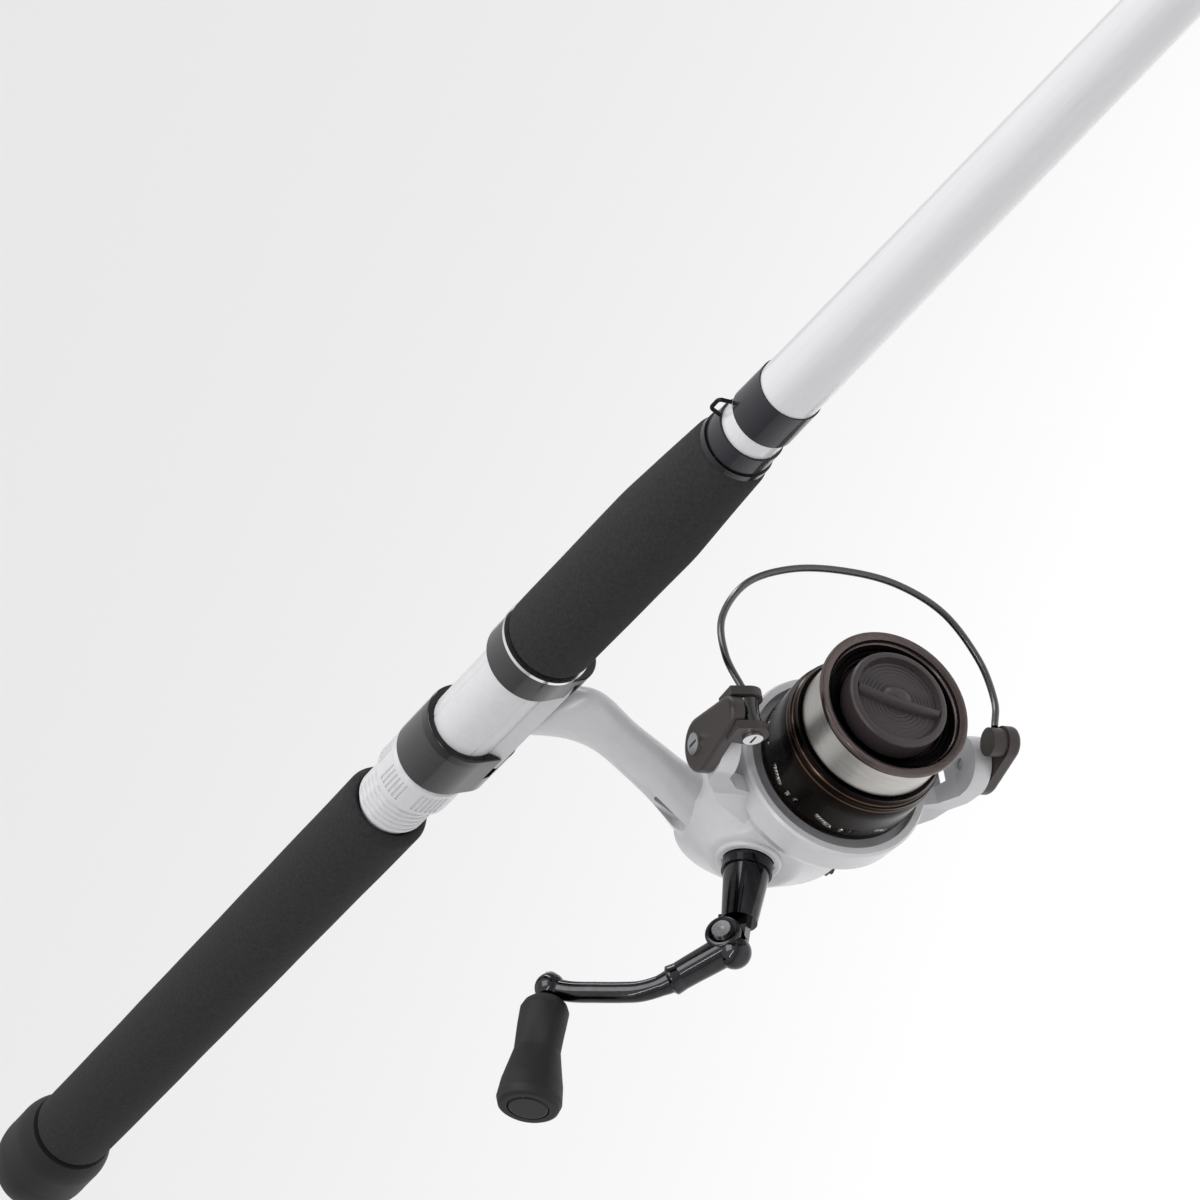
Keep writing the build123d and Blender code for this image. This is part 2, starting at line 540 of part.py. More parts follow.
with BuildPart() as rotor:
    with BuildSketch(SIDE) as bowl:
        with BuildLine():
            Polyline(
                (ROTOR_REAR, 18.2), (ROTOR_REAR, 21.0), (24.5, 26.0), (30.5, 29.4), (ROTOR_RIM - 1, ROTOR_RADIUS),
                (ROTOR_RIM, 29.6), (ROTOR_RIM, 27.6), (35.4, 27.4), (35.4, ROTOR_DRUM), (46.0, ROTOR_DRUM),
                (ROTOR_FACE, 19.6), (ROTOR_FACE, PINION_TUBE + GLUE), (44.6, PINION_TUBE + GLUE), (44.6, 18.2),
                close=True,
            )
        make_face()
    revolve(axis=SPOOL_AXIS)
    add(rotor_arm(1).part)
    add(rotor_arm(-1).part)
    with BuildSketch(FRONT.offset(ROTOR_REAR - 1)):
        Circle(18.2)
    extrude(amount=44.6 - ROTOR_REAR + 1, mode=Mode.SUBTRACT)
pieces["rotor"] = rotor

with BuildPart() as rotor_nut:
    with BuildSketch(FRONT.offset(ROTOR_FACE + GLUE)):
        RegularPolygon(6.4, 6)
        Circle(PINION_TUBE + GLUE, mode=Mode.SUBTRACT)
    extrude(amount=3.0)
pieces["rotor_nut"] = rotor_nut

PIVOT_FACES = {side: Plane(bail_point(0, 0, 0), x_dir=REEL.x_dir, z_dir=ACROSS * side) for side in (1, -1)}
with BuildPart() as bail_screws:
    for side, face in PIVOT_FACES.items():
        with BuildSketch(face.offset(ARM_INNER)):
            Circle(2.0)
        extrude(amount=BAIL_OUTER - ARM_INNER + GLUE)
        with BuildSketch(face.offset(BAIL_OUTER + 0.1)):
            Circle(3.3)
            SlotOverall(4.6, 0.9, mode=Mode.SUBTRACT)
        extrude(amount=1.0)
pieces["bail_screws"] = bail_screws


def lever(side, ahead):
    """A bail lever's flat: a round boss on the pivot that runs forward to a smaller round end."""
    with BuildPart() as piece:
        with BuildSketch(PIVOT_FACES[side].offset(ARM_RADIUS + RUN)):
            Circle(8.4)
            with Locations((ahead, 0)):
                Circle(5.2)
            make_hull()
        extrude(amount=BAIL_OUTER - ARM_RADIUS - RUN)
        fillet(piece.faces().sort_by(Axis(REEL.origin, ACROSS * side))[-1].edges(), 1.6)
        with BuildSketch(PIVOT_FACES[side].offset(ARM_RADIUS)):
            Circle(2.0 + 0.1)
        extrude(amount=6, mode=Mode.SUBTRACT)
    return piece


ROLLER_FACE = Plane(bail_point(ROLLER_AHEAD, 0, -ROLLER_DEPTH), x_dir=REEL.x_dir, z_dir=TOWARD)
CHEEK = 2.8                          # thickness of each cheek beside the line roller
with BuildPart() as bail_arm:
    add(lever(-1, ROLLER_AHEAD).part)
    for start in (ROLLER_HALF + 0.3, -ROLLER_HALF - 0.3 - CHEEK):
        with BuildSketch(ROLLER_FACE.offset(start)):
            Circle(4.9)
            with Locations((0, BAIL_OUTER - 3 - ROLLER_DEPTH)):
                Rectangle(8, 3)
            make_hull()
        extrude(amount=CHEEK)
    with BuildSketch(ROLLER_FACE.offset(-ROLLER_HALF - 0.3 - CHEEK)):
        Circle(1.75)
    extrude(amount=2 * ROLLER_HALF + 0.6 + 2 * CHEEK, mode=Mode.SUBTRACT)
pieces["bail_arm"] = bail_arm
pieces["line_roller"] = turned(
    [(-ROLLER_HALF, 1.85), (-ROLLER_HALF, ROLLER_RADIUS), (-1.4, ROLLER_RADIUS - 0.5), (1.4, ROLLER_RADIUS - 0.5),
     (ROLLER_HALF, ROLLER_RADIUS), (ROLLER_HALF, 1.85)],
    plane=Plane(ROLLER_FACE.origin, x_dir=TOWARD, z_dir=TOWARD.cross(REEL.x_dir)),
    axis=Axis(ROLLER_FACE.origin, TOWARD),
)
with BuildPart() as roller_screw:
    with BuildSketch(ROLLER_FACE.offset(-ROLLER_HALF - 0.3 - CHEEK)):
        Circle(1.7)
    extrude(amount=2 * (ROLLER_HALF + 0.3 + CHEEK) + 0.1)
    with BuildSketch(ROLLER_FACE.offset(ROLLER_HALF + 0.4 + CHEEK)):
        Circle(3.0)
        SlotOverall(4.2, 0.8, mode=Mode.SUBTRACT)
    extrude(amount=1.0)
pieces["roller_screw"] = roller_screw

HOLDER_AHEAD = 15.0
with BuildPart() as bail_holder:
    add(lever(1, HOLDER_AHEAD).part)
    with BuildSketch(PIVOT_FACES[1].offset(40.6)):
        with Locations((HOLDER_AHEAD, 0)):
            Circle(4.4)
    extrude(amount=BAIL_OUTER - 42)
pieces["bail_holder"] = bail_holder

WIRE_START = bail_point(ROLLER_AHEAD, -ROLLER_HALF - 0.9 - CHEEK, -ROLLER_DEPTH)
WIRE_END = bail_point(HOLDER_AHEAD, -5.4, 44.2)
with BuildPart() as bail_wire:
    wire_points = [
        WIRE_START, bail_point(18, -31, -47), bail_point(20, -51, -21), bail_point(20, -51, 19),
        bail_point(16.5, -31, 46), WIRE_END,
    ]
    with BuildLine() as wire_path:
        FilletPolyline(*wire_points, radius=(14, 24, 24, 14))
    with BuildSketch(Plane(wire_path.line @ 0, z_dir=wire_path.line % 0)):
        Circle(WIRE_RADIUS)
    sweep(path=wire_path.line)
pieces["bail_wire"] = bail_wire

# ================================================================ reel: the spool and its drag
pieces["spool"] = reel_turned(
    [
        (SPOOL_REAR, 23.7), (SPOOL_REAR, 25.0), (SPOOL_REAR + 1.2, SKIRT_RADIUS), (58.5, SKIRT_RADIUS),
        (59.4, 24.9), (60.6, 24.9), (61.2, 24.2), (62.6, 23.6), (LINE_REAR - GLUE, 23.6), (LINE_REAR - GLUE, ARBOR_RADIUS),
        (LINE_FRONT + GLUE, ARBOR_RADIUS), (LINE_FRONT + GLUE, 22.4), (SPOOL_LIP - 1.6, LIP_RADIUS),
        (SPOOL_LIP - 0.5, LIP_RADIUS), (SPOOL_LIP, LIP_RADIUS - 0.6), (SPOOL_LIP - 0.6, 21.4), (SPOOL_LIP - 2.4, 20.4),
        (SPOOL_LIP - 2.6, 17.6), (KNOB_REAR - 0.6, 16.6), (KNOB_REAR - 0.6, 11.2), (65.5, 11.2), (65.5, SHAFT_RADIUS + 0.1),
        (57.0, SHAFT_RADIUS + 0.1), (57.0, 7.0), (61.0, 8.0), (61.0, 21.6), (57.5, 23.7),
    ]
)
pieces["wound_line"] = ring(FRONT, LINE_RADIUS, ARBOR_RADIUS + GLUE, LINE_REAR, LINE_FRONT)
pieces["spool_band"] = ring(FRONT, LINE_RADIUS + 0.5, LINE_RADIUS + GLUE, LINE_REAR, LINE_FRONT)
with BuildPart() as felt_washers:
    for start in (65.6, 68.8, 72.0):
        with BuildSketch(FRONT.offset(start)):
            Circle(11.0)
            Circle(SHAFT_RADIUS + 0.6, mode=Mode.SUBTRACT)
        extrude(amount=1.4)
pieces["felt_washers"] = felt_washers
with BuildPart() as steel_washers:
    for start in (67.2, 70.4):
        with BuildSketch(FRONT.offset(start)):
            Circle(10.8)
            Circle(SHAFT_RADIUS + GLUE, mode=Mode.SUBTRACT)
        extrude(amount=1.2)
pieces["steel_washers"] = steel_washers

with BuildPart() as drag_knob:
    with BuildSketch(SIDE):
        with BuildLine():
            Polyline(
                (KNOB_REAR, 8.5), (KNOB_REAR, KNOB_RADIUS), (81.6, KNOB_RADIUS), (82.8, KNOB_RADIUS - 1),
                (82.8, 13.6), (80.8, 13.2), (80.8, 0), (SHAFT_FRONT + GLUE, 0), (SHAFT_FRONT + GLUE, 3.0), (78, 3.0), (78, 8.5),
                close=True,
            )
        make_face()
    revolve(axis=SPOOL_AXIS)
    # A thumb bar across the dished face, thin at its ends and round in the middle.
    with BuildSketch(FRONT.offset(80.6)):
        with Locations(Location((0, 0), 58)):
            Ellipse(13.3, 2.6)
        Circle(3.4)
    extrude(amount=KNOB_FRONT - 80.6)
pieces["drag_knob"] = drag_knob
with BuildPart() as drag_nut:
    with BuildSketch(FRONT.offset(73.8)):
        RegularPolygon(5.2, 6)
        Circle(SHAFT_RADIUS + GLUE, mode=Mode.SUBTRACT)
    extrude(amount=4)
pieces["drag_nut"] = drag_nut

# ================================================================ reel: the crank
with BuildPart() as handle_sleeve:
    with BuildSketch(HANDLE_SIDE.offset(SLEEVE[0])):
        Circle(SLEEVE_RADII[0])
    extrude(amount=3.4)
    with BuildSketch(HANDLE_SIDE.offset(SLEEVE[0] + 3.4)):
        Circle(SLEEVE_RADII[0] - 0.7)
    with BuildSketch(HANDLE_SIDE.offset(SLEEVE[1])):
        Circle(SLEEVE_RADII[1])
    loft()
    ARM_X = (REEL.x_dir * ARM_DIRECTION[0] + REEL.z_dir * ARM_DIRECTION[1]).normalized()
    PIN = at(HANDLE_X, -PIN_OUT, HANDLE_Z) + ARM_X * PIN_OFFSET
    ARM = Plane(PIN, x_dir=ARM_X, z_dir=ARM_X.cross(-REEL.y_dir))       # along the arm, outwards
    with BuildSketch(ARM.offset(-TONGUE_HALF)):
        Circle(EYE_RADIUS - 1)
        with Locations((-PIN_OFFSET / 2, -4)):
            Rectangle(2 * EYE_RADIUS - 2, 8)
    extrude(amount=2 * TONGUE_HALF)
    with BuildSketch(ARM.offset(-TONGUE_HALF)):
        Circle(1.75)
    extrude(amount=2 * TONGUE_HALF, mode=Mode.SUBTRACT)
pieces["handle_sleeve"] = handle_sleeve

def along_arm(along, outward):
    """A point of the crank arm, from the folding pin."""
    return ARM.from_local_coords((along, outward, 0))


BALL = along_arm(*CRANK[-1])
SPINDLE = Plane(BALL, x_dir=REEL.x_dir, z_dir=-REEL.y_dir)
with BuildPart() as crank_arm:
    with BuildSketch(ARM.offset(-EYE_HALF)):
        Circle(EYE_RADIUS)
    extrude(amount=2 * EYE_HALF)
    fillet(crank_arm.edges().filter_by(GeomType.CIRCLE), 1.2)
    thick_way = (along_arm(*CRANK[0]) - along_arm(-1.0, 3.0)).normalized()
    thick_length = (along_arm(*CRANK[0]) - along_arm(-1.0, 3.0)).length
    with BuildSketch(Plane(along_arm(-1.0, 3.0), z_dir=thick_way)):
        Circle(5.0)
    extrude(amount=thick_length, taper=1.6)
    with BuildSketch(Plane(along_arm(*CRANK[0]), z_dir=thick_way).offset(-1.7)):
        Circle(4.85)
    extrude(amount=3.3)
    with Locations(along_arm(-3.0, 4.6)):
        Sphere(5.1)
    with BuildLine() as bend:
        FilletPolyline(*[along_arm(*point) for point in CRANK], radius=(12, 30))
    with BuildSketch(Plane(bend.line @ 0, z_dir=bend.line % 0)):
        Circle(3.2)
    sweep(path=bend.line)
    with Locations(SPINDLE.location):
        Sphere(4.7)
    # Room for the sleeve's tongue, the folding pin and the knob's spindle.
    with BuildSketch(ARM.offset(-TONGUE_HALF - 0.15)):
        Circle(EYE_RADIUS + 0.2)
        with Locations((-3, -6)):
            Rectangle(17, 12)
    extrude(amount=2 * TONGUE_HALF + 0.3, mode=Mode.SUBTRACT)
    with BuildSketch(ARM.offset(-EYE_HALF - 1)):
        Circle(1.7)
    extrude(amount=2 * EYE_HALF + 2, mode=Mode.SUBTRACT)
    with BuildSketch(SPINDLE.offset(-6)):
        Circle(2.0)
    extrude(amount=12, mode=Mode.SUBTRACT)
pieces["crank_arm"] = crank_arm

with BuildPart() as folding_pin:
    with BuildSketch(ARM.offset(-EYE_HALF)):
        Circle(1.65)
    extrude(amount=2 * EYE_HALF + 0.1)
    with BuildSketch(ARM.offset(EYE_HALF + 0.1)):
        Circle(2.9)
        RegularPolygon(1.2, 6, mode=Mode.SUBTRACT)
    extrude(amount=0.9)
pieces["folding_pin"] = folding_pin
with BuildPart() as knob_spindle:
    with BuildSketch(SPINDLE.offset(-4.6)):
        Circle(1.9)
    extrude(amount=GRIP_END - 1.6)
pieces["knob_spindle"] = knob_spindle

with BuildPart() as handle_knob:
    with BuildSketch(Plane(SPINDLE.origin, x_dir=-REEL.y_dir, z_dir=(-REEL.y_dir).cross(REEL.x_dir))) as half:
        with BuildLine():
            Line((GRIP_TOP, 2.1), (GRIP_TOP, 6.0))
            Spline((GRIP_TOP, 6.0), (8.5, 7.5), (14, 7.5), (23, 7.2), (34, 9.4), (39.5, 9.9), (GRIP_END - 0.8, 8.4))
            Line((GRIP_END - 0.8, 8.4), (GRIP_END - 0.8, 6.4))
            Line((GRIP_END - 0.8, 6.4), (GRIP_END - 3.4, 6.4))
            Line((GRIP_END - 3.4, 6.4), (GRIP_END - 3.4, 2.1))
            Line((GRIP_END - 3.4, 2.1), (GRIP_TOP, 2.1))
        make_face()
    revolve(axis=Axis(SPINDLE.origin, -REEL.y_dir))
pieces["handle_knob"] = handle_knob
with BuildPart() as knob_cap:
    with BuildSketch(SPINDLE.offset(GRIP_END - 3.3)):
        Circle(6.3)
    extrude(amount=2.6)
    fillet(knob_cap.edges().group_by(Axis.Y)[0], 0.9)
pieces["knob_cap"] = knob_cap

# ================================================================ write one STEP for each piece
os.makedirs("parts", exist_ok=True)
for name, piece in pieces.items():
    piece.part.label = name
    export_step(piece.part, f"parts/{name}.step")
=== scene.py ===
import json
from math import cos, radians, sin, tau
import bpy
import numpy as np
from mathutils import Matrix, Vector


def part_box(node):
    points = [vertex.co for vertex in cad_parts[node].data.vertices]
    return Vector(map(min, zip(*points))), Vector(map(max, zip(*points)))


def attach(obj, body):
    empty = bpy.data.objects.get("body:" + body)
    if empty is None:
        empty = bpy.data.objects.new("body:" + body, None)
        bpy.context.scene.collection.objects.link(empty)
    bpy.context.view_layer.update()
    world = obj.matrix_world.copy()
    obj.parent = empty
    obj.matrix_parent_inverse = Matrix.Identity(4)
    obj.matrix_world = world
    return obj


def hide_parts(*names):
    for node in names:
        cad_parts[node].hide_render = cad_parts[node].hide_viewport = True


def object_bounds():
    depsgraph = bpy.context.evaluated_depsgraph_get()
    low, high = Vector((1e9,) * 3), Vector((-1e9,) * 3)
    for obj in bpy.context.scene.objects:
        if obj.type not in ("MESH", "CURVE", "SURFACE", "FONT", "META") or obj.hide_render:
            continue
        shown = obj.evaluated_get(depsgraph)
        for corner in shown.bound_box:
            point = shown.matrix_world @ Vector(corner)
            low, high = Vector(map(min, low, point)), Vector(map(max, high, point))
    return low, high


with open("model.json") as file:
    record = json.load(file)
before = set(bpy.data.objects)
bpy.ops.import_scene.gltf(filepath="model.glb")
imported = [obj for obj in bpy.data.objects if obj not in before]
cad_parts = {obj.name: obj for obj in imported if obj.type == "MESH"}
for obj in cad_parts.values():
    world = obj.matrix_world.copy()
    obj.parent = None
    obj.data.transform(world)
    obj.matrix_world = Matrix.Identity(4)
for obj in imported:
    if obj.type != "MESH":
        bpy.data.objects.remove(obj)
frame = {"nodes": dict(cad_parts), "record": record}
CAD_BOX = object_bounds()
MM = 0.001


# ------------------------------------------------------------------ stage, camera and lights
def floor_and_light():
    """A pale floor well below the rod, a white room, a wide soft lamp and two long strips for the gloss."""
    low, high = CAD_BOX
    middle = [(a + b) / 2 for a, b in zip(low, high)]
    bpy.ops.mesh.primitive_plane_add(size=60, location=(middle[0], middle[1], low[2] - 0.55))
    floor = bpy.context.object
    floor.name = "floor"
    floor.data.materials.append(material("white_seamless_paper", base="#f7f7f7", roughness=0.9))
    world = bpy.data.worlds.new("white_room")
    world.use_nodes = True
    bpy.context.scene.world = world
    bpy.context.scene.view_settings.view_transform = "Standard"
    tree = world.node_tree
    place = tree.nodes.new("ShaderNodeTexCoord")
    parts = tree.nodes.new("ShaderNodeSeparateXYZ")
    ramp = tree.nodes.new("ShaderNodeValToRGB")
    tree.links.new(place.outputs["Generated"], parts.inputs[0])
    tree.links.new(parts.outputs["Z"], ramp.inputs[0])
    tree.links.new(ramp.outputs[0], tree.nodes["Background"].inputs[0])
    for step, (where, grey) in zip(ramp.color_ramp.elements, ((0.0, 0.4), (0.8, 1.0))):
        step.position, step.color = where, (grey, grey, grey, 1)
    centre = Vector((0.42, 0.0, -0.05))
    for name, way, distance, long, wide, watts in (
        ("key_lamp", (0.35, 0.05, 1.0), 1.5, 1.1, 1.1, 13),
        ("strip_lamp", (0.55, -0.9, 0.75), 1.2, 1.3, 0.06, 3.5),
        ("edge_lamp", (0.1, 1.0, 0.5), 1.4, 1.2, 0.12, 4.5),
    ):
        lamp = bpy.data.lights.new(name, "AREA")
        lamp.shape, lamp.size, lamp.size_y, lamp.energy = "RECTANGLE", long, wide, watts
        stand = bpy.data.objects.new(name, lamp)
        stand.location = centre + Vector(way).normalized() * distance
        stand.rotation_euler = (centre - stand.location).to_track_quat("-Z", "Y").to_euler()
        bpy.context.collection.objects.link(stand)


def camera():
    """A long lens that looks down the rod from its right front, rolled so the rod runs corner to corner."""
    right = Vector((0.4603129, 0.1407321, -0.8765310))
    down = Vector((-0.4729821, -0.7966728, -0.3762983))
    ahead = right.cross(down).normalized()
    data = bpy.data.cameras.new("camera")
    data.sensor_width, data.lens = 36.0, 144.98
    data.clip_end = 100
    seen = bpy.data.objects.new("camera", data)
    turn = Matrix((right, -down, -ahead)).transposed().to_4x4()
    seen.matrix_world = Matrix.Translation((1.453626, -0.816678, 0.413930)) @ turn
    bpy.context.collection.objects.link(seen)
    bpy.context.scene.camera = seen


# ------------------------------------------------------------------ materials
def tone(colour):
    """An sRGB hex colour as the linear values that shaders take."""
    parts = [int(colour[i:i + 2], 16) / 255 for i in (1, 3, 5)]
    return [c / 12.92 if c <= 0.04045 else ((c + 0.055) / 1.055) ** 2.4 for c in parts] + [1.0]


def node(made, kind, joins=(), **settings):
    """Adds a node: settings name its properties or its sockets, joins are (socket, where it goes)."""
    tree = made.node_tree
    new = tree.nodes.new(kind)
    for key, value in settings.items():
        name = key.replace("_", " ")
        if name in new.inputs:
            new.inputs[name].default_value = value
        else:
            setattr(new, key, value)
    for source, target in joins:
        tree.links.new(source, new.inputs[target])
    return new


def material(name, base, roughness=0.5, metallic=0.0, **sockets):
    """A plain physical material, from its colour and the shader's own constants."""
    made = bpy.data.materials.new(name)
    made.use_nodes = True
    shader = made.node_tree.nodes["Principled BSDF"]
    shader.inputs["Base Color"].default_value = tone(base)
    shader.inputs["Roughness"].default_value = roughness
    shader.inputs["Metallic"].default_value = metallic
    for key, value in sockets.items():
        shader.inputs[key.replace("_", " ")].default_value = value
    return made


def grained(made, size, bump, depth, dark, light, smooth, rough, stretch=(1, 1, 1),
            stripes=None, axis=(1, 0, 0), start=0.0, end=1.0, holes=None):
    """Gives a material a grain: a noise of a real size drives its bump, its colour and its gloss.

    size is the grain in mm, stretch lengthens it along an axis, and depth is its relief in mm.
    stripes are (place in mm, sRGB tint) steps along an axis from start to end, which tint the colour
    from each place on. The last argument, a colour, is laid where the piece's own mark attribute is 1: pale in the
    spool's sunk slots and pits, and near-black painted shade in the drag knob's hollow.
    """
    shader = made.node_tree.nodes["Principled BSDF"]
    place = node(made, "ShaderNodeTexCoord")
    mapped = node(made, "ShaderNodeMapping", [(place.outputs["Object"], "Vector")],
                  Scale=stretch)
    noise = node(made, "ShaderNodeTexNoise", [(mapped.outputs[0], "Vector")],
                 Scale=1 / (size * MM), Detail=4.0, Roughness=0.6)
    colour = node(made, "ShaderNodeMix", [(noise.outputs["Fac"], "Factor")], data_type="RGBA")
    colour.inputs[6].default_value, colour.inputs[7].default_value = tone(dark), tone(light)
    gloss = node(made, "ShaderNodeMapRange", [(noise.outputs["Fac"], "Value")])
    gloss.inputs["To Min"].default_value, gloss.inputs["To Max"].default_value = smooth, rough
    raised = node(made, "ShaderNodeBump", [(noise.outputs["Fac"], "Height")],
                  Strength=bump, Distance=depth * MM)
    links = made.node_tree.links
    last = colour.outputs[2]
    if stripes:
        along = node(made, "ShaderNodeVectorMath", [(place.outputs["Object"], 0)], operation="DOT_PRODUCT")
        along.inputs[1].default_value = axis
        spot = node(made, "ShaderNodeMapRange", [(along.outputs["Value"], "Value")])
        spot.inputs["From Min"].default_value, spot.inputs["From Max"].default_value = start * MM, end * MM
        ramp = node(made, "ShaderNodeValToRGB", [(spot.outputs[0], "Fac")])
        steps = ramp.color_ramp
        steps.interpolation = "CONSTANT"
        for spare in range(len(stripes) - 2):
            steps.elements.new(0.5)
        for step, (where, tint) in zip(steps.elements, stripes):
            step.position = (where - start) / (end - start)
            step.color = tone(tint)
        tinted = node(made, "ShaderNodeMix", data_type="RGBA", blend_type="MULTIPLY")
        tinted.inputs["Factor"].default_value = 1.0
        links.new(last, tinted.inputs[6])
        links.new(ramp.outputs[0], tinted.inputs[7])
        last = tinted.outputs[2]
    # painted shade: this mix lays a near-black colour on the deepest part of the drag knob's hollow; on the spool it
    # lays a pale colour in the sunk slots and pits, for the rotor behind them
    if holes:
        hole = node(made, "ShaderNodeAttribute", attribute_name="hole")
        cut = node(made, "ShaderNodeMix", [(hole.outputs["Fac"], "Factor")], data_type="RGBA")
        cut.inputs[7].default_value = tone(holes)
        links.new(last, cut.inputs[6])
        last = cut.outputs[2]
    links.new(last, shader.inputs["Base Color"])
    links.new(gloss.outputs[0], shader.inputs["Roughness"])
    links.new(raised.outputs[0], shader.inputs["Normal"])
    return made


